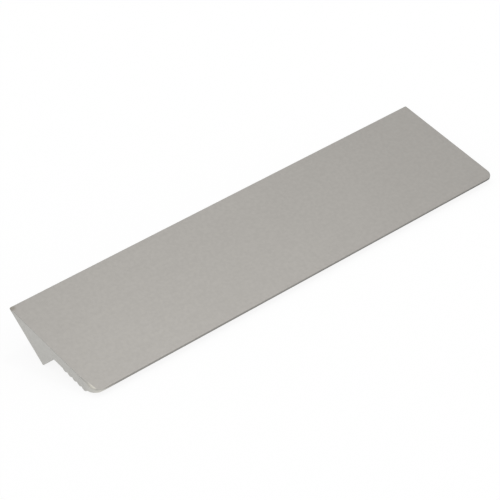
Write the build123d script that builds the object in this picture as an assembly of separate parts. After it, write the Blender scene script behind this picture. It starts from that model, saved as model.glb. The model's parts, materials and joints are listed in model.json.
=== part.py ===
from build123d import *
import math
import os

# Furniture handle: one cut length of an extruded aluminium profile.
# A thin lip to pull on grows out of a solid wedge, and the slanted back of the
# wedge is screwed to the front of a door or drawer. Sizes are in millimetres.
#
# The section is drawn with the lip level: y = 0 is the sharp back edge, where
# the top face meets the mounting face, y falls towards the front, and z = 0 is
# the top face. The finished handle is then turned to lie as it does on a floor.

# The cut piece
length = 156.0
depth = 40.3
front_corner_radius = 3.0
back_corner_radius = 0.4

# Lip
lip_thickness = 3.1
nose_land = 0.8
nose_angle = 24.0

# Wedge
mount_angle = 29.5
mount_width = 19.2
heel_angle = 87.0
heel_fillet = 1.0

# Rounding of the section's outer corners, least on the sharp back edge
apex_radius = 0.1
heel_radius = 0.15
edge_radius = 0.3

# Finger ribs under the lip, counted from the front one
rib_count = 5
rib_pitch = 2.15
rib_width = 1.9
rib_height = 0.45
rib_setback = 5.35

# Blind tapped holes for two M4 screws, at the bore that the tap follows
hole_spacing = 128.0
hole_setback = 13.5
hole_radius = 1.65
hole_mouth = 0.4
hole_skin = 1.3
drill_point = 118.0

# The radius of the round ribs, from their width and height
rib_radius = (rib_width**2 / 4 + rib_height**2) / (2 * rib_height)
rib_centre_z = rib_radius - rib_height - lip_thickness
first_rib_y = rib_setback - depth


def on_mounting_face(distance):
    """The point on the mounting face at this distance from the back edge."""
    slope = math.radians(mount_angle)
    return -distance * math.cos(slope), -distance * math.sin(slope)


def section_outline():
    """The closed outline of the profile, each corner with its own radius."""
    heel_slope = math.radians(heel_angle - mount_angle)
    heel_y, heel_z = on_mounting_face(mount_width)
    root_y = heel_y + (heel_z + lip_thickness) / math.tan(heel_slope)
    bevel = (lip_thickness - nose_land) / math.tan(math.radians(nose_angle))
    corners = [
        ((0, 0), apex_radius),
        ((heel_y, heel_z), heel_radius),
        ((root_y, -lip_thickness), heel_fillet),
        ((bevel - depth, -lip_thickness), edge_radius),
        ((-depth, -nose_land), edge_radius),
        ((-depth, 0), edge_radius),
    ]
    points = [point for point, radius in corners]
    radii = [radius for point, radius in corners]
    return FilletPolyline(*points, radius=radii, close=True)


def finger_ribs():
    """The circles of the round ribs, in a row, sunk into the lip."""
    row = Sketch()
    for index in range(rib_count):
        row += Pos(first_rib_y + index * rib_pitch, rib_centre_z) * Circle(rib_radius)
    return row


def extruded_profile():
    """The profile at its cut length, centred on x = 0."""
    section = make_face(section_outline()) + finger_ribs()
    return extrude(Plane.YZ * section, length / 2, both=True)


def plan_block():
    """A block below the top face, with the handle's outline from above."""
    outline = Rectangle(length, depth, align=(Align.CENTER, Align.MAX))
    outline = fillet(outline.vertices().group_by(Axis.Y)[0], front_corner_radius)
    outline = fillet(outline.vertices().group_by(Axis.Y)[-1], back_corner_radius)
    return extrude(outline, -mount_width)


def screw_hole():
    """The space of one hole: its mouth at z = 0, its drill point above."""
    slope = math.radians(mount_angle)
    thinnest = (hole_setback - hole_radius) * math.tan(slope)
    floor = thinnest - hole_skin
    tip = floor + hole_radius / math.tan(math.radians(drill_point / 2))
    half = Polyline(
        (0, 0),
        (hole_radius + hole_mouth, 0),
        (hole_radius, hole_mouth),
        (hole_radius, floor),
        (0, tip),
        close=True,
    )
    return revolve(Plane.XZ * make_face(half), Axis.Z)


def drilled(body):
    """The body with both screw holes, square to the mounting face."""
    slope = math.radians(mount_angle)
    inward = (0, -math.sin(slope), math.cos(slope))
    y, z = on_mounting_face(hole_setback)
    for x in (-hole_spacing / 2, hole_spacing / 2):
        mouth = Plane(origin=(x, y, z), x_dir=(1, 0, 0), z_dir=inward)
        body -= mouth * screw_hole()
    return body


def resting_angle():
    """How far the handle turns nose down to lie on its heel and front rib.

    The floor is the line that touches the heel's rounding and the front rib
    from below, so it lies one radius under both of their centres.
    """
    slope = math.radians(mount_angle)
    reach = heel_radius / math.tan(math.radians(heel_angle / 2))
    heel_y, heel_z = on_mounting_face(mount_width - reach)
    heel_y -= heel_radius * math.sin(slope)
    heel_z += heel_radius * math.cos(slope)
    run = heel_y - first_rib_y
    rise = rib_centre_z - heel_z
    span = math.hypot(run, rise)
    tangent = math.asin((rib_radius - heel_radius) / span)
    return math.degrees(math.atan2(rise, run) - tangent)


def laid_down(body):
    """The body as it lies, with its box's bottom centre at the origin."""
    body = Rot(resting_angle(), 0, 0) * body
    box = body.bounding_box()
    return Pos(-box.center().X, -box.center().Y, -box.min.Z) * body


handle_profile = extruded_profile() & plan_block()
handle_profile = laid_down(drilled(handle_profile))

os.makedirs("parts", exist_ok=True)
export_step(handle_profile, "parts/handle_profile.step")
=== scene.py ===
# The furniture handle as it lies on a pale floor: its metal surface worked out from the
# profile's sizes, its satin finish, and the soft light and camera that show it.

import json
import logging
import math
from dataclasses import dataclass
from enum import Enum

import bmesh
import bpy
import numpy as np
from mathutils import Matrix, Vector


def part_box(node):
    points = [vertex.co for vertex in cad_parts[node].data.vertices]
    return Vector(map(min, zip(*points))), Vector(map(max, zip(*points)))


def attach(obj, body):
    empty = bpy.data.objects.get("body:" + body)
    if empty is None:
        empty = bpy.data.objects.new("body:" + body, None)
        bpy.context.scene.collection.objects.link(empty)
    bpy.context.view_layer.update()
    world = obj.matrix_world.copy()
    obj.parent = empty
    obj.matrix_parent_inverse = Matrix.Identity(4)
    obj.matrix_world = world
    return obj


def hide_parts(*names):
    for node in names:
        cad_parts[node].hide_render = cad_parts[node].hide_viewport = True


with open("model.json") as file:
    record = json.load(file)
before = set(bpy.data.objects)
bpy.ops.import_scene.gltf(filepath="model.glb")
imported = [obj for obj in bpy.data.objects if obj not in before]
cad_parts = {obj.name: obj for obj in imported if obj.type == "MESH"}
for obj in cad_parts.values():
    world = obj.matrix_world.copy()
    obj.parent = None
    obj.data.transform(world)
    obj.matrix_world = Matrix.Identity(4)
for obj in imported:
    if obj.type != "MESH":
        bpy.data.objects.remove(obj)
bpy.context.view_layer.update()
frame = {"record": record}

MM = 0.001
NODE = "handle_profile"
BODY = "root"
NOISE_RANGE = (0.3, 0.7)

Socket = bpy.types.NodeSocket
Pair = tuple[float, float]
Triple = tuple[float, float, float]

log = logging.getLogger("handle")


class Finish(Enum):
    """The finishes of the handle's surface, by material slot number."""

    SATIN = 0
    TAPPED = 1


class Mark(Enum):
    """What the surface's points are marked with, by attribute name."""

    # smoother wear with a painted highlight and painted light on the left front corner
    WEAR_AND_HIGHLIGHT = "worn"
    # the cut ends' saw lines and their lighter colour, which is painted light, also laid on the left front
    # corner
    CUT_END_AND_LIT = "sawn"
    # painted shade: darkens the lip's narrow front
    PAINTED_NOSE_SHADE = "nose"


class Maths(Enum):
    """What a maths node does with its two values."""

    ADD = "ADD"
    MULTIPLY = "MULTIPLY"
    MAXIMUM = "MAXIMUM"


class Side(Enum):
    """The two ends of the handle, by the sign of x."""

    LEFT = -1
    RIGHT = 1


def smooth_step(low: float, high: float, value: np.ndarray) -> np.ndarray:
    """A smooth rise from 0 at low to 1 at high.

    Args:
        low: Where the rise starts.
        high: Where it ends.
        value: The places to work it out at.

    Returns:
        3 u^2 - 2 u^3, where u runs from 0 to 1 between the two.
    """
    share = np.clip((value - low) / (high - low), 0.0, 1.0)
    return share * share * (3.0 - 2.0 * share)


def rounded_path(corners: np.ndarray, radii: np.ndarray, step: float, margin: float) -> np.ndarray:
    """An open line of straight runs whose inner corners are round.

    Each corner becomes an arc that touches both of its runs: the arc starts and ends
    radius times tan(turn / 2) from the corner, and its points follow centre plus radius
    times the direction, which turns evenly from the first run's side to the second's.

    Args:
        corners: The corners, one row each, with the two ends of the line.
        radii: The radius at each corner, unused at the two ends.
        step: The largest turn between two points of an arc, in radians.
        margin: How far from an arc its runs get one more point.

    Returns:
        The points, one row each.
    """
    runs = np.diff(corners, axis=0)
    along = runs / np.linalg.norm(runs, axis=1, keepdims=True)
    parts = [corners[:1]]
    for number in range(1, len(corners) - 1):
        before, after = along[number - 1], along[number]
        cross = before[0] * after[1] - before[1] * after[0]
        turn = math.atan2(cross, float(before @ after))
        radius = radii[number]
        reach = radius * math.tan(abs(turn) / 2)
        start = corners[number] - before * reach
        side = np.array((-before[1], before[0])) * math.copysign(1.0, turn)
        centre = start + side * radius
        angles = np.linspace(0.0, turn, max(2, math.ceil(abs(turn) / step) + 1))
        spin = np.stack((np.cos(angles), np.sin(angles)), axis=1)
        spoke = -side
        arc = centre + radius * np.stack(
            (spoke[0] * spin[:, 0] - spoke[1] * spin[:, 1], spoke[0] * spin[:, 1] + spoke[1] * spin[:, 0]),
            axis=1,
        )
        parts += [start[None] - before * margin, arc, arc[-1:] + after * margin]
    parts.append(corners[-1:])
    return np.concatenate(parts)


class Patchwork:
    """Grids of points that share their seams, gathered into one closed mesh."""

    def __init__(self) -> None:
        """Starts with no points."""
        self.points: list[np.ndarray] = []
        self.marks: dict[str, list[np.ndarray]] = {mark.value: [] for mark in Mark}
        self.quads: list[np.ndarray] = []
        self.fans: list[list[int]] = []
        self.finishes: list[np.ndarray] = []
        self.count = 0

    def add(self, points: np.ndarray, **marks: np.ndarray) -> np.ndarray:
        """Stores points.

        Args:
            points: An array whose last axis is x, y, z in metres.
            marks: By a mark's name, how strong it is at each point, from 0 to 1.

        Returns:
            The points' numbers, in the array's shape without its last axis.
        """
        shape = points.shape[:-1]
        flat = points.reshape(-1, 3)
        numbers = np.arange(self.count, self.count + len(flat)).reshape(shape)
        self.points.append(flat)
        for name, stored in self.marks.items():
            stored.append(np.broadcast_to(marks.get(name, 0.0), shape).ravel())
        self.count += len(flat)
        return numbers

    def weave(
        self, numbers: np.ndarray, finish: Finish = Finish.SATIN, keep: np.ndarray | None = None
    ) -> None:
        """Adds the quads of a grid of point numbers.

        Args:
            numbers: Point numbers by row and column.
            finish: The quads' finish.
            keep: Which of the grid's cells are made, or None for all.
        """
        cells = np.stack(
            (numbers[:-1, :-1], numbers[1:, :-1], numbers[1:, 1:], numbers[:-1, 1:]), axis=-1
        )
        cells = cells.reshape(-1, 4) if keep is None else cells[keep]
        self.quads.append(cells)
        self.finishes.append(np.full(len(cells), finish.value))

    def close_ring(self, rings: np.ndarray) -> np.ndarray:
        """Rings of point numbers with their first column repeated at the end."""
        return np.concatenate((rings, rings[:, :1]), axis=1)

    def fan(self, ring: np.ndarray) -> None:
        """Closes a ring of point numbers at a bore's floor with one flat face."""
        self.fans.append(ring.tolist())

    def build(self, name: str) -> bpy.types.Object:
        """Makes the mesh object, with its faces smooth and pointing outwards.

        Args:
            name: The object's name.

        Returns:
            The object, linked to the scene.
        """
        quads = np.concatenate(self.quads)
        mesh = bpy.data.meshes.new(name)
        mesh.from_pydata(np.concatenate(self.points).tolist(), [], quads.tolist() + self.fans)
        shell = bmesh.new()
        shell.from_mesh(mesh)
        bmesh.ops.recalc_face_normals(shell, faces=shell.faces)
        shell.to_mesh(mesh)
        shell.free()
        kinds = np.concatenate((*self.finishes, np.full(len(self.fans), Finish.TAPPED.value)))
        mesh.polygons.foreach_set("material_index", kinds.astype(np.int32))
        mesh.polygons.foreach_set("use_smooth", np.ones(len(kinds), dtype=bool))
        for mark, stored in self.marks.items():
            layer = mesh.attributes.new(mark, "FLOAT", "POINT")
            layer.data.foreach_set("value", np.concatenate(stored).astype(np.float32))
        mesh.update()
        piece = bpy.data.objects.new(name, mesh)
        bpy.context.scene.collection.objects.link(piece)
        return piece


@dataclass(frozen=True)
class ScrewThread:
    """One blind tapped hole, seen from its mouth. Sizes in millimetres."""

    setback: float = 13.5
    spacing: float = 128.0
    crest_radius: float = 1.65
    root_radius: float = 1.98
    mouth_radius: float = 2.05
    mouth_depth: float = 0.4
    pitch: float = 0.7
    depth: float = 5.4
    drill_point: float = 118.0
    tip_radius: float = 0.06
    groove_rise: Pair = (0.12, 0.88)
    rows_per_turn: int = 12
    cone_rows: int = 6

    def radii(self, angles: np.ndarray, depths: np.ndarray) -> np.ndarray:
        """The wall's radius at each depth and angle.

        The groove is a triangle wave in the phase depth / pitch - angle / full turn, so
        it climbs by one pitch a turn. It fades in below the mouth and out at the floor.

        Args:
            angles: Angles round the hole, in radians.
            depths: Depths below the mouth, in millimetres.

        Returns:
            An array of radii, one row for each depth.
        """
        phase = depths[:, None] / self.pitch - angles[None] / (2.0 * math.pi)
        wave = 1.0 - np.abs(2.0 * (phase - np.floor(phase)) - 1.0)
        groove = smooth_step(*self.groove_rise, wave)
        fade = smooth_step(self.mouth_depth, self.mouth_depth + self.pitch, depths)
        fade = fade * smooth_step(self.depth, self.depth - self.pitch, depths)
        return self.crest_radius + (self.root_radius - self.crest_radius) * groove * fade[:, None]

    def wall(self, angles: np.ndarray) -> tuple[np.ndarray, np.ndarray]:
        """The rings of the hole below its mouth, down to the drill point.

        Args:
            angles: Angles round the hole, in radians.

        Returns:
            The radii, one row for each ring, and the rings' depths, in millimetres.
        """
        turns = (self.depth - self.mouth_depth) / self.pitch
        depths = np.linspace(self.mouth_depth, self.depth, round(turns * self.rows_per_turn))
        thread = self.radii(angles, depths)
        slope = math.tan(math.radians(self.drill_point / 2.0))
        cone = np.linspace(self.crest_radius, self.tip_radius, self.cone_rows)[1:]
        tip = self.depth + (self.crest_radius - cone) / slope
        radii = np.concatenate((thread, np.repeat(cone[:, None], len(angles), axis=1)))
        return radii, np.concatenate((depths, tip))


@dataclass(frozen=True)
class Profile:
    """The extruded section. Sizes in millimetres.

    Places in the section are a, the distance forward from the sharp back edge where the
    top face and the mounting face would meet, and b, the depth below the top face.
    """

    depth: float = 40.3
    lip_thickness: float = 3.1
    nose_land: float = 0.8
    nose_angle: float = 24.0
    mount_angle: float = 29.5
    mount_width: float = 19.2
    heel_angle: float = 87.0
    heel_fillet: float = 1.0
    heel_radius: float = 0.15
    apex_radius: float = 0.106
    rib_count: int = 5
    rib_pitch: float = 2.15
    rib_width: float = 1.9
    rib_height: float = 0.45
    rib_setback: float = 5.35
    rib_flank: float = 50.0
    valley_radius: float = 0.18
    arc_step: float = 8.0
    apex_points: int = 6
    margin: float = 0.05

    @property
    def slope(self) -> float:
        """The mounting face's angle to the top face, in radians."""
        return math.radians(self.mount_angle)

    @property
    def back_edge(self) -> float:
        """Where the rounded back edge starts, in front of the sharp one."""
        return self.apex_radius / math.tan(self.slope / 2.0) - self.apex_radius

    @property
    def rib_radius(self) -> float:
        """The radius of the round ribs, from their width and height."""
        return (self.rib_width**2 / 4.0 + self.rib_height**2) / (2.0 * self.rib_height)

    def bevel_depth(self, forward: float) -> float:
        """The depth of the nose's bevelled underside at a place in the section."""
        return self.nose_land + (self.depth - forward) * math.tan(math.radians(self.nose_angle))

    def underside(self) -> np.ndarray:
        """The outline below, from the back edge to the nose, as rows of a and b.

        Straight runs with round corners: down the mounting face, up the heel, along the
        lip, over each rib and up the bevel. A rib is three corners: its flanks meet at a
        point above its crest, which the rib's own radius rounds off.

        Returns:
            The outline's points, with a always growing.
        """
        lean = math.radians(self.rib_flank)
        heel = np.array((math.cos(self.slope), math.sin(self.slope))) * self.mount_width
        rise = heel[1] - self.lip_thickness
        heel_slope = math.radians(self.heel_angle) - self.slope
        root = (heel[0] + rise / math.tan(heel_slope), self.lip_thickness)
        peak = self.rib_height + self.rib_radius * (1.0 / math.cos(lean) - 1.0)
        half = peak / math.tan(lean)
        turn = np.linspace(0.0, math.pi / 2.0 - self.slope, self.apex_points)
        back = np.stack((1.0 - np.cos(turn), 1.0 + np.sin(turn)), axis=1) * self.apex_radius
        back[:, 0] += self.back_edge
        corners = [tuple(back[-1]), tuple(heel), root]
        radii = [0.0, self.heel_radius, self.heel_fillet]
        for number in reversed(range(self.rib_count)):
            middle = self.depth - self.rib_setback - number * self.rib_pitch
            corners += [(middle - half, self.lip_thickness), (middle, self.lip_thickness + peak)]
            radii += [self.valley_radius, self.rib_radius]
            if number:
                corners.append((middle + half, self.lip_thickness))
                radii.append(self.valley_radius)
        nose_slope = math.tan(math.radians(self.nose_angle))
        crown = self.lip_thickness + peak - self.bevel_depth(corners[-1][0])
        meet = corners[-1][0] + crown / (math.tan(lean) - nose_slope)
        corners += [(meet, self.bevel_depth(meet)), (self.depth, self.nose_land)]
        radii += [self.valley_radius, 0.0]
        path = rounded_path(np.array(corners), np.array(radii), math.radians(self.arc_step), self.margin)
        return np.concatenate((back[:-1], path))


@dataclass(frozen=True)
class Outline:
    """The outline from above, as rows of numbers once round. Sizes in millimetres.

    It holds places as x and a, the way out of the metal as its parts along x and a, the
    radii of the upper and the lower edge, how far the front corners' ease has faded in,
    and half of the handle's length.
    """

    x: np.ndarray
    a: np.ndarray
    out_x: np.ndarray
    out_a: np.ndarray
    upper: np.ndarray
    lower: np.ndarray
    eased: np.ndarray
    end: float

    @property
    def side(self) -> np.ndarray:
        """How much the outline faces sideways: 1 along the ends, 0 along the nose."""
        return self.out_x**2

    @property
    def front(self) -> np.ndarray:
        """How much the outline faces forward: 0 along the ends, 1 along the nose."""
        return np.clip(self.out_a, 0.0, 1.0) ** 2


@dataclass(frozen=True)
class EdgeMarks:
    """How strong each mark is on the rings round the outline. Sizes in millimetres.

    A pair is where a smooth change starts and where it is complete. A name that ends in
    x or a is about places on the outline, in side or front about the way it faces, and in
    bend about the surface's turn: 0 where it lies level, 1 where it stands upright.
    """

    # glint and foot: a painted highlight along the left front corner's upper edge
    glint_a: Pair = (35.0, 37.5)
    glint_front: Pair = (0.5, 0.2)
    glint_bend: Pair = (0.95, 0.45)
    glint_least: float = 0.25
    foot_bend: Pair = (1.0, 0.93)
    foot_share: float = 0.3
    # painted light: where the left front corner's wall is painted paler
    pale_x: Pair = (-74.0, -76.0)
    pale_a: Pair = (35.0, 38.0)
    lit_wall_front: Pair = (0.1, 0.6)
    lit_wall_bend: Pair = (0.0, 0.5)
    lit_wall_share: float = 0.15
    lit_wall_more: float = 0.13
    # the cut ends' lighter colour, which is painted light
    sawn_side: Pair = (0.0, 0.8)
    sawn_bend: Pair = (0.0, 0.3)
    # painted shade on the lip's narrow front, darker towards the right
    nose_shade_x: Pair = (-74.5, -70.5)
    nose_front: Pair = (0.4, 0.8)
    nose_shade_bend: Pair = (0.7, 1.0)
    nose_shade_share: float = 0.75
    nose_shade_more: float = 0.25

    def pale(self, line: Outline) -> np.ndarray:
        """Where the left front corner is painted paler, as painted light, from 0 to 1 along the outline."""
        return smooth_step(*self.pale_x, line.x) * smooth_step(*self.pale_a, line.a)

    def worn(self, line: Outline, bend: np.ndarray) -> np.ndarray:
        """The wear and the painted highlight of the left front corner.

        A painted highlight runs along the upper edge: it grows towards the corner, ends where
        the outline faces forward, and has a weaker foot where the edge meets the wall.
        The corner's wall below it is painted a little paler as painted light, more so round its front.

        Args:
            line: The outline.
            bend: The surface's turn on each ring.

        Returns:
            How worn each point is.
        """
        # painted highlight along the upper edge, and below it painted light that makes the corner's wall
        # paler
        edge = line.eased * smooth_step(*self.glint_front, line.front) * (line.x < 0.0)
        glint = self.glint_least + (1.0 - self.glint_least) * smooth_step(*self.glint_a, line.a)
        glint = glint * smooth_step(*self.glint_bend, bend)
        edge = edge * np.maximum(glint, self.foot_share * smooth_step(*self.foot_bend, bend))
        more = self.lit_wall_more * smooth_step(*self.lit_wall_front, line.front)
        lit_wall = self.pale(line) * (self.lit_wall_share + more)
        return np.maximum(edge, lit_wall * smooth_step(*self.lit_wall_bend, bend))

    def sawn(self, line: Outline, bend: np.ndarray) -> np.ndarray:
        """The cut ends, whose lighter colour is painted light: upright surface that faces sideways, and the
        whole painted-paler corner.
        """
        cut = np.maximum(smooth_step(*self.sawn_side, line.side), self.pale(line))
        return smooth_step(*self.sawn_bend, bend) * cut

    def nose(self, line: Outline, bend: np.ndarray) -> np.ndarray:
        """The painted shade on the nose: upright surface that faces forward, darkest at the right."""
        # painted shade, darker towards the right
        shade = smooth_step(*self.nose_shade_x, line.x) * smooth_step(*self.nose_front, line.front)
        shade = shade * (self.nose_shade_share + self.nose_shade_more * line.x / line.end)
        return smooth_step(*self.nose_shade_bend, bend) * shade

    def at(self, line: Outline, bend: np.ndarray) -> dict[str, np.ndarray]:
        """All marks on some rings.

        Args:
            line: The outline.
            bend: The surface's turn on each ring.

        Returns:
            By a mark's name, how strong it is at each point.
        """
        makers = {Mark.WEAR_AND_HIGHLIGHT: self.worn, Mark.CUT_END_AND_LIT: self.sawn, Mark.PAINTED_NOSE_SHADE: self.nose}
        return {mark.value: maker(line, bend) for mark, maker in makers.items()}


@dataclass(frozen=True)
class HandleBody:
    """The whole handle as one closed surface. Sizes in millimetres.

    Two grids with the same rows and columns, the flat top and the profiled underside,
    are joined round the outline by rings that round over both edges. Each row is a place
    in the section and each column a place along the handle.
    """

    profile: Profile = Profile()
    thread: ScrewThread = ScrewThread()
    marks: EdgeMarks = EdgeMarks()
    front_corner: float = 3.0
    back_corner: float = 0.4
    nose_radius: float = 0.32
    nose_radius_below: float = 0.42
    nose_front: float = 0.75
    end_radius: float = 0.12
    end_radius_below: float = 0.05
    corner_eases: Pair = (0.78, 0.0)
    ease_run: Pair = (31.0, 37.0)
    upper_limit: float = 0.8
    lower_limit: float = 0.9
    margin_limit: float = 0.25
    ring_steps: int = 6
    corner_steps: int = 14
    back_corner_steps: int = 5
    hole_window: float = 3.0
    hole_rings: tuple[float, ...] = (0.3, 0.6, 0.85, 0.97, 1.0)
    window_cells: int = 12
    column_gap: float = 4.0
    outer_columns: int = 14

    @property
    def half_length(self) -> float:
        """Half of the cut length, from the frame's box."""
        low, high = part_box(NODE)
        return (high.x - low.x) / MM / 2.0

    def place(self, x: np.ndarray, a: np.ndarray, b: np.ndarray) -> np.ndarray:
        """Points of the section in the row frame.

        The section is turned about X until its mounting face looks along the axis of the
        frame's mounting face, and moved until the two faces' middles meet.

        Args:
            x: Places along the handle, in millimetres.
            a: Distances forward from the back edge, in millimetres.
            b: Depths below the top face, in millimetres.

        Returns:
            Points in metres, with x, y, z on the last axis.
        """
        mount = next(m for m in frame["record"]["mounts"] if m["name"] == "mounting_face")
        slope = self.profile.slope
        tilt = math.asin(mount["axis"][1]) - slope
        reach = self.profile.mount_width / 2.0
        forward, down = a - reach * math.cos(slope), b - reach * math.sin(slope)
        y = -forward * math.cos(tilt) + down * math.sin(tilt)
        z = -forward * math.sin(tilt) - down * math.cos(tilt)
        points = np.stack(np.broadcast_arrays(x, y, z), axis=-1) * MM
        return points + np.array((0.0, mount["pos_m"][1], mount["pos_m"][2]))

    def stations(self) -> tuple[np.ndarray, np.ndarray]:
        """The outline seen from above, along its right side from back to front.

        Returns:
            The outline's points as x and a, and the way out of the metal at each.
        """
        end, shape = self.half_length, self.profile
        turn = np.linspace(0.0, math.pi / 2.0, self.corner_steps + 1)
        back_turn = np.linspace(0.0, math.pi / 2.0, self.back_corner_steps + 1)
        back = np.stack((np.sin(back_turn), -np.cos(back_turn)), axis=1)
        front = np.stack((np.cos(turn), np.sin(turn)), axis=1)
        back_start = shape.back_edge + self.back_corner
        front_start = shape.depth - self.front_corner
        rows = np.concatenate((shape.underside()[:, 0], self.window_rows()))
        rows = np.unique(np.round(rows, 6))
        rows = rows[(rows > back_start + shape.margin) & (rows < front_start - shape.margin)]
        side = np.stack((np.full(len(rows), end), rows), axis=1)
        points = np.concatenate(
            (
                np.array((end - self.back_corner, back_start)) + self.back_corner * back,
                side,
                np.array((end - self.front_corner, front_start)) + self.front_corner * front,
            )
        )
        outward = np.concatenate((back, np.tile((1.0, 0.0), (len(rows), 1)), front))
        return points, outward

    @property
    def window_span(self) -> np.ndarray:
        """The edges of the cells across a screw hole's square window, from its middle."""
        return np.linspace(-self.hole_window, self.hole_window, self.window_cells + 1)

    def window_rows(self) -> np.ndarray:
        """The rows that cross the screw holes' windows."""
        return (self.thread.setback + self.window_span) * math.cos(self.profile.slope)

    @property
    def under_end(self) -> float:
        """How far the underside's flat grid reaches from the middle."""
        return self.half_length - self.end_radius_below

    def columns(self) -> np.ndarray:
        """The columns' places as shares of the underside's reach, from -1 to 1."""
        end = self.under_end
        window = self.thread.spacing / 2.0 + self.window_span
        outer = np.linspace(window[-1], end - self.profile.margin, self.outer_columns + 1)[1:]
        count = math.ceil(2.0 * window[0] / self.column_gap)
        middle = np.linspace(-window[0], window[0], count + 1)
        right = np.concatenate((window[1:], outer, (end,)))
        return np.concatenate((-right[::-1], middle, right)) / end

    def depth_below(self, a: np.ndarray) -> np.ndarray:
        """The underside's depth b at places a in the section."""
        outline = self.profile.underside()
        return np.interp(a, outline[:, 0], outline[:, 1])

    def edge_radii(
        self, points: np.ndarray, outward: np.ndarray, ease: float
    ) -> tuple[np.ndarray, np.ndarray]:
        """The rounding of the upper and lower edge at each station.

        With f as the square of the outward way's forward part, 0 at the ends and 1 at the
        nose, the radius goes from the ends' to the nose's over the last quarter of f. The
        upper one has the ease times (1 - f) on top, which fades in along the ends before
        the front corners. Near the sharp back edge both are shares of the wall's height.

        Args:
            points: The outline's points as x and a.
            outward: The way out of the metal at each.
            ease: How much more the front corner's upper edge is rounded.

        Returns:
            The upper and the lower radii.
        """
        front = np.clip(outward[:, 1], 0.0, 1.0) ** 2
        eased = smooth_step(*self.ease_run, points[:, 1]) * (1.0 - front)
        nose = smooth_step(self.nose_front, 1.0, front)
        upper = self.end_radius + (self.nose_radius - self.end_radius) * nose + ease * eased
        lower = self.end_radius_below + (self.nose_radius_below - self.end_radius_below) * nose
        height = self.depth_below(points[:, 1])
        upper = np.minimum(upper, self.upper_limit * height)
        return upper, np.minimum(lower, self.lower_limit * (height - upper))

    def across(self, left: np.ndarray, right: np.ndarray, share: np.ndarray) -> np.ndarray:
        """Values by row and column that go evenly from the left end's to the right end's."""
        step = (1.0 + share[None]) / 2.0
        return left[:, None] * (1.0 - step) + right[:, None] * step

    def loop_of(self, grid: np.ndarray) -> np.ndarray:
        """A grid's outer row and column values, once round from the back right corner."""
        return np.concatenate((grid[:, -1], grid[-1, -2:0:-1], grid[::-1, 0], grid[0, 1:-1]))

    def build(self) -> bpy.types.Object:
        """Makes the handle's mesh.

        Returns:
            The mesh object.
        """
        cloth = Patchwork()
        points, outward = self.stations()
        share = self.columns()
        left, right = (self.edge_radii(points, outward, ease) for ease in self.corner_eases)
        upper, lower = (self.across(*pair, share) for pair in zip(left, right))
        grids = []
        for radii, is_top in ((upper, True), (lower, False)):
            x = (points[:, :1] - outward[:, :1] * radii) * share[None]
            a = points[:, 1:] - outward[:, 1:] * radii
            b = np.zeros_like(a) if is_top else self.depth_below(a)
            grids.append(cloth.add(self.place(x, a, b)))
        top, under = grids
        cloth.weave(top)
        keep = np.ones((len(points) - 1, len(share) - 1), dtype=bool)
        windows = self.windows(points, share)
        for rows, cols in windows:
            keep[rows, cols] = False
        cloth.weave(under, keep=keep)
        line = self.outline(points, outward, upper, lower, share)
        self.wrap_edges(cloth, line, top, under)
        for side, (rows, cols) in zip(Side, windows):
            self.sink_hole(cloth, side, under[rows.start : rows.stop + 1, cols.start : cols.stop + 1])
        return cloth.build("pull_handle")

    def windows(self, points: np.ndarray, share: np.ndarray) -> list[tuple[slice, slice]]:
        """The cells of the underside that each screw hole's window takes.

        Args:
            points: The outline's points as x and a.
            share: The columns' places as shares of the underside's reach.

        Returns:
            For the left and the right hole, a slice of rows and one of columns.
        """
        first_row = int(np.argmin(np.abs(points[:, 1] - self.window_rows()[0])))
        rows = slice(first_row, first_row + self.window_cells)
        places = share * self.under_end
        found = []
        for side in Side:
            edge = side.value * self.thread.spacing / 2.0 - self.hole_window
            first = int(np.argmin(np.abs(places - edge)))
            found.append((rows, slice(first, first + self.window_cells)))
        return found

    def outline(
        self,
        points: np.ndarray,
        outward: np.ndarray,
        upper: np.ndarray,
        lower: np.ndarray,
        share: np.ndarray,
    ) -> Outline:
        """The outline once round, from the stations of one side and the columns.

        Args:
            points: The stations as x and a.
            outward: The way out of the metal at each.
            upper: The upper edge's radii by row and column.
            lower: The lower edge's radii by row and column.
            share: The columns' places as shares of the underside's reach.

        Returns:
            The outline.
        """
        spread = np.ones_like(share)[None]
        a = self.loop_of(points[:, 1:] * spread)
        return Outline(
            x=self.loop_of(points[:, :1] * share[None]),
            a=a,
            out_x=self.loop_of(outward[:, :1] * share[None]),
            out_a=self.loop_of(outward[:, 1:] * spread),
            upper=self.loop_of(upper),
            lower=self.loop_of(lower),
            eased=smooth_step(*self.ease_run, a),
            end=self.half_length,
        )

    def wrap_edges(self, cloth: Patchwork, line: Outline, top: np.ndarray, under: np.ndarray) -> None:
        """Joins the top to the underside all round.

        At an angle u from level to upright, a ring over an edge of radius r lies
        r (1 - sin u) in from the outline and r (1 - cos u) from the face it rounds into.

        Args:
            cloth: The mesh so far.
            line: The outline.
            top: The point numbers of the top's grid.
            under: The point numbers of the underside's grid.
        """
        angles = np.linspace(0.0, math.pi / 2.0, self.ring_steps + 1)[1:, None]
        inward, away = 1.0 - np.sin(angles), 1.0 - np.cos(angles)
        inset_low = line.lower * inward[::-1]
        floor = self.depth_below(line.a)
        slack = floor - line.upper - line.lower
        margin = np.minimum(self.profile.margin, self.margin_limit * slack)
        level = np.zeros((1, len(line.a)))
        upright = level + 1.0
        low = self.depth_below(line.a - line.out_a * inset_low) - line.lower * away[::-1]
        parts = (
            (line.upper * inward, line.upper * away, 1.0 - inward),
            (level, (line.upper + margin)[None], upright),
            (level, (floor - line.lower - margin)[None], upright),
            (inset_low, low, upright),
        )
        rings = [self.loop_of(top)[None]]
        for inset, b, bend in parts:
            spots = self.place(line.x - line.out_x * inset, line.a - line.out_a * inset, b)
            rings.append(cloth.add(spots, **self.marks.at(line, bend)))
        rings.append(self.loop_of(under)[None])
        cloth.weave(cloth.close_ring(np.concatenate(rings)))

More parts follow.
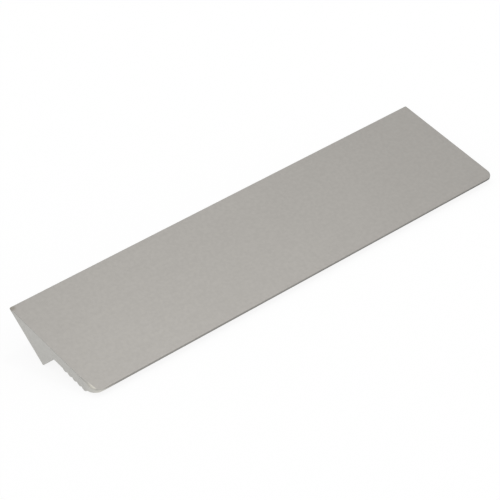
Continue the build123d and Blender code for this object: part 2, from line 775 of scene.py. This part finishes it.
    def sink_hole(self, cloth: Patchwork, side: Side, window: np.ndarray) -> None:
        """Fills a window in the underside with a tapped hole.

        Rings run from the window's square edge to the round mouth, each a mix of the
        square and the circle, then down the thread to the drill point. A ring's point
        keeps the angle that it has on the square.

        Args:
            cloth: The mesh so far.
            side: Which hole this is.
            window: The point numbers of the window's grid.
        """
        thread, slope, span = self.thread, self.profile.slope, self.window_span
        edge = self.loop_of(window)
        u = self.loop_of(np.repeat(span[None], len(span), axis=0))
        v = self.loop_of(np.repeat(span[:, None], len(span), axis=1))
        angles = np.arctan2(v, u)
        circle = np.stack((np.cos(angles), np.sin(angles)))
        square = np.stack((u, v))
        brim = len(self.hole_rings)
        mix = np.array(self.hole_rings)[:, None, None]
        flat = square * (1.0 - mix) + circle * thread.mouth_radius * mix
        radii, depths = thread.wall(angles)
        ring_uv = np.concatenate((flat, radii[:, None] * circle[None]))
        ring_depth = np.concatenate((np.zeros(brim), depths))[:, None]
        reach = thread.setback + ring_uv[:, 1]
        x = side.value * thread.spacing / 2.0 + ring_uv[:, 0]
        a = reach * math.cos(slope) + ring_depth * math.sin(slope)
        b = reach * math.sin(slope) - ring_depth * math.cos(slope)
        rings = cloth.add(self.place(x, a, b))
        cloth.weave(cloth.close_ring(np.concatenate((edge[None], rings[:brim]))))
        cloth.weave(cloth.close_ring(rings[brim - 1 :]), Finish.TAPPED)
        cloth.fan(rings[-1])


class NodeDesk:
    """A material's node tree, with short calls to add and join its nodes."""

    def __init__(self, name: str) -> None:
        """Starts an empty node material.

        Args:
            name: The material's name.
        """
        self.material = bpy.data.materials.new(name)
        self.material.use_nodes = True
        self.tree = self.material.node_tree
        self.tree.nodes.clear()

    def node(self, kind: str, **settings: object) -> bpy.types.Node:
        """Adds a node.

        Args:
            kind: The node's type name.
            settings: Its properties, by name.

        Returns:
            The node.
        """
        made = self.tree.nodes.new(kind)
        for name, value in settings.items():
            setattr(made, name, value)
        return made

    def join(self, output: Socket, socket: Socket) -> None:
        """Links an output to an input."""
        self.tree.links.new(output, socket)

    def place(self, scale: Triple = (1.0, 1.0, 1.0), shift: Triple = (0.0, 0.0, 0.0)) -> Socket:
        """Object coordinates, stretched and moved.

        Args:
            scale: The stretch along x, y and z.
            shift: How far they are moved after that.

        Returns:
            The new vector.
        """
        where = self.node("ShaderNodeTexCoord")
        mapping = self.node("ShaderNodeMapping")
        mapping.inputs["Location"].default_value = shift
        mapping.inputs["Scale"].default_value = scale
        self.join(where.outputs["Object"], mapping.inputs["Vector"])
        return mapping.outputs["Vector"]

    def noise(self, vector: Socket, scale: float, detail: float = 2.0) -> Socket:
        """A noise value from 0 to 1.

        Args:
            vector: Where it is read.
            scale: Waves for each metre of the vector.
            detail: How many finer layers it has.

        Returns:
            The noise value.
        """
        made = self.node("ShaderNodeTexNoise")
        made.inputs["Scale"].default_value = scale
        made.inputs["Detail"].default_value = detail
        self.join(vector, made.inputs["Vector"])
        return made.outputs["Fac"]

    def spread(
        self, value: Socket, low: float, high: float, start: float = 0.0, end: float = 1.0
    ) -> Socket:
        """A value moved from one range to another.

        Args:
            value: The value.
            low: What the range's start becomes.
            high: What its end becomes.
            start: The range's start.
            end: The range's end.

        Returns:
            The new value.
        """
        made = self.node("ShaderNodeMapRange")
        made.inputs["From Min"].default_value = start
        made.inputs["From Max"].default_value = end
        made.inputs["To Min"].default_value = low
        made.inputs["To Max"].default_value = high
        self.join(value, made.inputs["Value"])
        return made.outputs["Result"]

    def swing(self, noise: Socket, reach: float) -> Socket:
        """A noise whose usual range is moved to run from -reach to reach."""
        return self.spread(noise, -reach, reach, *NOISE_RANGE)

    def blend(self, share: Socket, first: Socket | Triple, second: Socket | Triple) -> Socket:
        """Two colours mixed by a share. The mix node's colour sockets go by number.

        Args:
            share: 0 for the first colour, 1 for the second.
            first: A colour or the output of a node.
            second: The same.

        Returns:
            The mixed colour.
        """
        made = self.node("ShaderNodeMix", data_type="RGBA")
        self.join(share, made.inputs["Factor"])
        for socket, colour in zip(made.inputs[6:8], (first, second)):
            if isinstance(colour, tuple):
                socket.default_value = (*colour, 1.0)
            else:
                self.join(colour, socket)
        return made.outputs[2]

    def combine(self, maths: Maths, *values: Socket) -> Socket:
        """Values put together one after the other.

        Args:
            maths: How two of them are put together.
            values: The values, two or more.

        Returns:
            The result.
        """
        total = values[0]
        for value in values[1:]:
            made = self.node("ShaderNodeMath", operation=maths.value)
            self.join(total, made.inputs[0])
            self.join(value, made.inputs[1])
            total = made.outputs[0]
        return total

    def spot(self, middle: Triple, core: float, reach: float) -> Socket:
        """A soft round spot. Sizes in metres.

        Args:
            middle: Its middle.
            core: The radius up to which it is 1.
            reach: The radius from which it is 0.

        Returns:
            How strong it is.
        """
        away = self.node("ShaderNodeVectorMath", operation="DISTANCE")
        self.join(self.place(), away.inputs[0])
        away.inputs[1].default_value = middle
        return self.spread(away.outputs["Value"], 1.0, 0.0, core, reach)

    def mark(self, mark: Mark) -> Socket:
        """How strong a mark is."""
        return self.node("ShaderNodeAttribute", attribute_name=mark.value).outputs["Fac"]

    def bump(self, height: Socket, depth: float, normal: Socket | None = None) -> Socket:
        """A bumped normal.

        Args:
            height: The relief, from 0 to 1.
            depth: How deep it is, in metres.
            normal: The normal that it is added to, or None for the surface's own.

        Returns:
            The normal.
        """
        made = self.node("ShaderNodeBump")
        made.inputs["Distance"].default_value = depth
        self.join(height, made.inputs["Height"])
        if normal is not None:
            self.join(normal, made.inputs["Normal"])
        return made.outputs["Normal"]

    def metal(self, colour: Socket, roughness: Socket, normal: Socket) -> bpy.types.Material:
        """Ends the tree in a metal.

        Args:
            colour: The colour.
            roughness: The roughness.
            normal: The normal.

        Returns:
            The material.
        """
        shader = self.node("ShaderNodeBsdfPrincipled")
        shader.inputs["Metallic"].default_value = 1.0
        self.join(colour, shader.inputs["Base Color"])
        self.join(roughness, shader.inputs["Roughness"])
        self.join(normal, shader.inputs["Normal"])
        output = self.node("ShaderNodeOutputMaterial")
        self.join(shader.outputs[0], output.inputs["Surface"])
        return self.material


@dataclass(frozen=True)
class SawnEnd:
    """The cut ends, under the same anodising, with the saw's curved lines; their lighter colour is painted
    light.
    """

    # lighter than the skin: painted light on the ends
    colour: Triple = (0.517, 0.511, 0.485)
    speck: Triple = (0.557, 0.549, 0.521)
    roughness: float = 0.03
    line_gap: float = 0.00045
    line_share: float = 0.3
    line_depth: float = 1.2e-5
    waver: float = 3.0
    waver_detail: float = 3.0
    waver_scale: float = 2.0
    blade_centre: Pair = (0.02, -0.11)

    def lines(self, desk: NodeDesk) -> Socket:
        """The saw's lines as a relief from 0 to 1: rings about the blade's centre.

        The texture's rings lie pi / (10 scale) apart.

        Args:
            desk: The material that the nodes go to.

        Returns:
            The relief.
        """
        y, z = self.blade_centre
        waves = desk.node("ShaderNodeTexWave", wave_type="RINGS", rings_direction="SPHERICAL")
        waves.inputs["Scale"].default_value = math.pi / (10.0 * self.line_gap)
        waves.inputs["Distortion"].default_value = self.waver
        waves.inputs["Detail"].default_value = self.waver_detail
        waves.inputs["Detail Scale"].default_value = self.waver_scale
        desk.join(desk.place((0.0, 1.0, 1.0), (0.0, -y, -z)), waves.inputs["Vector"])
        return waves.outputs["Fac"]


@dataclass(frozen=True)
class SatinSkin:
    """The etched and anodised skin: a fine grain and faint die lines along the extrusion.

    Its mark for the cut ends gives them a lighter colour, which is painted light, and the saw's
    lines; the left front corner's mark smooths it and paints a highlight and a paler wall there,
    as painted light; and the nose mark darkens the lip's narrow front as painted shade. The left
    back corner is scuffed.
    """

    colour: Triple = (0.440, 0.423, 0.397)
    speck: Triple = (0.470, 0.452, 0.424)
    # bright colour of the painted highlight and paler painted wall at the left front corner
    worn: Triple = (0.90, 0.865, 0.775)
    # painted shade colour for the lip's narrow front
    nose: Triple = (0.12, 0.116, 0.11)
    scuff: Triple = (0.345, 0.322, 0.285)
    scuff_place: Triple = (-0.0774, 0.0184, 0.0137)
    scuff_core: float = 0.00039
    scuff_reach: float = 0.0013
    roughness: float = 0.44
    roughness_swing: float = 0.02
    worn_roughness: float = -0.10
    grain: float = 7000.0
    grain_detail: float = 3.0
    grain_share: float = 0.3
    mottle: float = 900.0
    mottle_share: float = 0.5
    cloud: float = 45.0
    cloud_range: Pair = (0.2, 0.8)
    grain_depth: float = 1.5e-6
    line_scale: Triple = (6.0, 900.0, 900.0)
    line_share: float = 0.8
    end: SawnEnd = SawnEnd()

    def make(self) -> bpy.types.Material:
        """Builds the material."""
        desk = NodeDesk("satin_anodised")
        plain = desk.place()
        grain = desk.noise(plain, self.grain, self.grain_detail)
        lines = desk.noise(desk.place(self.line_scale), 1.0)
        worn = desk.mark(Mark.WEAR_AND_HIGHLIGHT)
        sawn = desk.mark(Mark.CUT_END_AND_LIT)
        saw = self.end.lines(desk)
        share = desk.combine(
            Maths.ADD,
            desk.swing(grain, self.grain_share),
            desk.swing(desk.noise(plain, self.mottle), self.mottle_share),
            desk.spread(desk.noise(plain, self.cloud), *self.cloud_range),
        )
        colour = desk.blend(share, self.colour, self.speck)
        furrow = desk.spread(saw, -self.end.line_share, self.end.line_share)
        cut = desk.blend(desk.combine(Maths.ADD, share, furrow), self.end.colour, self.end.speck)
        # the cut ends' saw lines, and their lighter colour as painted light
        colour = desk.blend(sawn, colour, cut)
        # painted shade: the lip's narrow front darkened
        colour = desk.blend(desk.mark(Mark.PAINTED_NOSE_SHADE), colour, self.nose)
        # painted highlight and painted light on the left front corner, where its roughness is also lower
        # from wear
        colour = desk.blend(worn, colour, self.worn)
        scuffed = desk.spot(self.scuff_place, self.scuff_core, self.scuff_reach)
        colour = desk.blend(scuffed, colour, self.scuff)
        low, high = self.roughness - self.roughness_swing, self.roughness + self.roughness_swing
        rough = desk.combine(
            Maths.ADD,
            desk.spread(lines, low, high),
            desk.spread(worn, 0.0, self.worn_roughness),
            desk.spread(sawn, 0.0, self.end.roughness),
        )
        relief = desk.combine(Maths.ADD, grain, desk.spread(lines, 0.0, self.line_share))
        skin = desk.bump(relief, self.grain_depth)
        normal = desk.bump(desk.combine(Maths.MULTIPLY, sawn, saw), self.end.line_depth, skin)
        return desk.metal(colour, rough, normal)


@dataclass(frozen=True)
class TappedBore:
    """The screw holes' walls: cut metal with the tap's fine chatter, painted darker as painted shade in the
    holes.
    """

    # darker than the skin: painted shade of the holes' depth
    colour: Triple = (0.36, 0.35, 0.33)
    speck: Triple = (0.42, 0.41, 0.39)
    roughness: float = 0.33
    roughness_swing: float = 0.05
    grain: float = 9000.0
    grain_depth: float = 1.0e-6

    def make(self) -> bpy.types.Material:
        """Builds the material."""
        desk = NodeDesk("tapped_bore")
        grain = desk.noise(desk.place(), self.grain)
        colour = desk.blend(grain, self.colour, self.speck)
        low, high = self.roughness - self.roughness_swing, self.roughness + self.roughness_swing
        rough = desk.spread(grain, low, high)
        return desk.metal(colour, rough, desk.bump(grain, self.grain_depth))


@dataclass(frozen=True)
class Handle:
    """The furniture handle: its body and its finishes."""

    body: HandleBody = HandleBody()
    skin: SatinSkin = SatinSkin()
    bore: TappedBore = TappedBore()

    def make(self) -> bpy.types.Object:
        """Builds the handle and puts it on its frame body.

        Returns:
            The handle's object.
        """
        piece = self.body.build()
        for finish in (self.skin, self.bore):
            piece.data.materials.append(finish.make())
        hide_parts(NODE)
        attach(piece, BODY)
        log.info("%s: %d points, %d faces", piece.name, len(piece.data.vertices), len(piece.data.polygons))
        return piece


@dataclass(frozen=True)
class SoftBox:
    """A square lamp that looks at a point. Places in metres."""

    name: str
    place: Triple
    target: Triple
    width: float
    height: float
    power: float

    def make(self) -> bpy.types.Object:
        """Builds the lamp."""
        lamp = bpy.data.lights.new(self.name, "AREA")
        lamp.shape = "RECTANGLE"
        lamp.size = self.width
        lamp.size_y = self.height
        lamp.energy = self.power
        made = bpy.data.objects.new(self.name, lamp)
        made.location = self.place
        made.rotation_euler = (Vector(self.target) - Vector(self.place)).to_track_quat("-Z", "Y").to_euler()
        made.visible_camera = False
        bpy.context.scene.collection.objects.link(made)
        log.info("%s: %.1f W", self.name, self.power)
        return made


@dataclass(frozen=True)
class Studio:
    """The pale floor, the white surround and the lamp. Sizes in metres."""

    floor_size: float = 12.0
    floor_colour: Triple = (0.18, 0.18, 0.18)
    floor_glow: float = 0.865
    sky: float = 0.68
    boxes: tuple[SoftBox, ...] = (
        SoftBox("key_box", (0.46, 0.10, 1.20), (0.0, 0.0, 0.0), 0.275, 0.275, 1.11),
    )

    def seen_share(self, desk: NodeDesk) -> Socket:
        """1 for camera, glossy and transmission rays, and 0 for the rest.

        Args:
            desk: The material that the nodes go to.

        Returns:
            The share.
        """
        rays = desk.node("ShaderNodeLightPath")
        seen = (rays.outputs[f"Is {kind} Ray"] for kind in ("Camera", "Glossy", "Transmission"))
        return desk.combine(Maths.MAXIMUM, *seen)

    def make_world(self) -> None:
        """Sets the even white surround."""
        world = bpy.data.worlds.new("white_surround")
        world.use_nodes = True
        tree = world.node_tree
        tree.nodes.clear()
        around = tree.nodes.new("ShaderNodeBackground")
        around.inputs["Color"].default_value = (1.0, 1.0, 1.0, 1.0)
        around.inputs["Strength"].default_value = self.sky
        output = tree.nodes.new("ShaderNodeOutputWorld")
        tree.links.new(around.outputs[0], output.inputs["Surface"])
        bpy.context.scene.world = world

    def make_floor(self) -> bpy.types.Object:
        """Builds the floor at z = 0.

        Returns:
            The floor's object.
        """
        reach = self.floor_size / 2.0
        mesh = bpy.data.meshes.new("pale_floor")
        corners = [(-reach, -reach, 0.0), (reach, -reach, 0.0), (reach, reach, 0.0), (-reach, reach, 0.0)]
        mesh.from_pydata(corners, [], [(0, 1, 2, 3)])
        floor = bpy.data.objects.new("pale_floor", mesh)
        bpy.context.scene.collection.objects.link(floor)
        desk = NodeDesk("pale_floor")
        matte = desk.node("ShaderNodeBsdfDiffuse")
        matte.inputs["Color"].default_value = (*self.floor_colour, 1.0)
        glow = desk.node("ShaderNodeEmission")
        desk.join(desk.spread(self.seen_share(desk), 0.0, self.floor_glow), glow.inputs["Strength"])
        both = desk.node("ShaderNodeAddShader")
        desk.join(matte.outputs[0], both.inputs[0])
        desk.join(glow.outputs[0], both.inputs[1])
        output = desk.node("ShaderNodeOutputMaterial")
        desk.join(both.outputs[0], output.inputs["Surface"])
        mesh.materials.append(desk.material)
        log.info("%s: %.1f m square", floor.name, self.floor_size)
        return floor

    def make(self) -> None:
        """Builds the whole studio."""
        self.make_world()
        self.make_floor()
        for box in self.boxes:
            box.make()


@dataclass(frozen=True)
class PhotoCamera:
    """The camera at the photograph's angle. Angles in degrees, places in metres."""

    aim: Triple = (-0.006710, -0.001946, 0.007791)
    azimuth: float = -37.312
    elevation: float = 30.341
    roll: float = 6.821
    distance: float = 0.66082
    focal_pixels: float = 2250.0
    picture_pixels: float = 500.0
    sensor: float = 36.0
    clip: Pair = (0.01, 50.0)

    def make(self) -> bpy.types.Object:
        """Builds the camera and makes it the scene's.

        Returns:
            The camera's object.
        """
        turn, rise = math.radians(self.azimuth), math.radians(self.elevation)
        back = Vector((math.sin(turn) * math.cos(rise), -math.cos(turn) * math.cos(rise), math.sin(rise)))
        look = (-back).to_track_quat("-Z", "Y").to_matrix().to_4x4()
        lens = bpy.data.cameras.new("photo_camera")
        lens.sensor_width = self.sensor
        lens.lens = self.sensor * self.focal_pixels / self.picture_pixels
        lens.clip_start, lens.clip_end = self.clip
        made = bpy.data.objects.new("photo_camera", lens)
        lean = Matrix.Rotation(-math.radians(self.roll), 4, "Z")
        made.matrix_world = Matrix.Translation(Vector(self.aim) + back * self.distance) @ look @ lean
        bpy.context.scene.collection.objects.link(made)
        bpy.context.scene.camera = made
        log.info("camera: lens %.1f mm, %.3f m away", lens.lens, self.distance)
        return made


def main() -> None:
    """Builds the camera, the studio and the handle, and notes the sizes."""
    logging.basicConfig(level=logging.INFO, format="%(name)s: %(message)s")
    bpy.context.scene.view_settings.view_transform = "Standard"
    PhotoCamera().make()
    Studio().make()
    Handle().make()


if __name__ == "__main__":
    main()
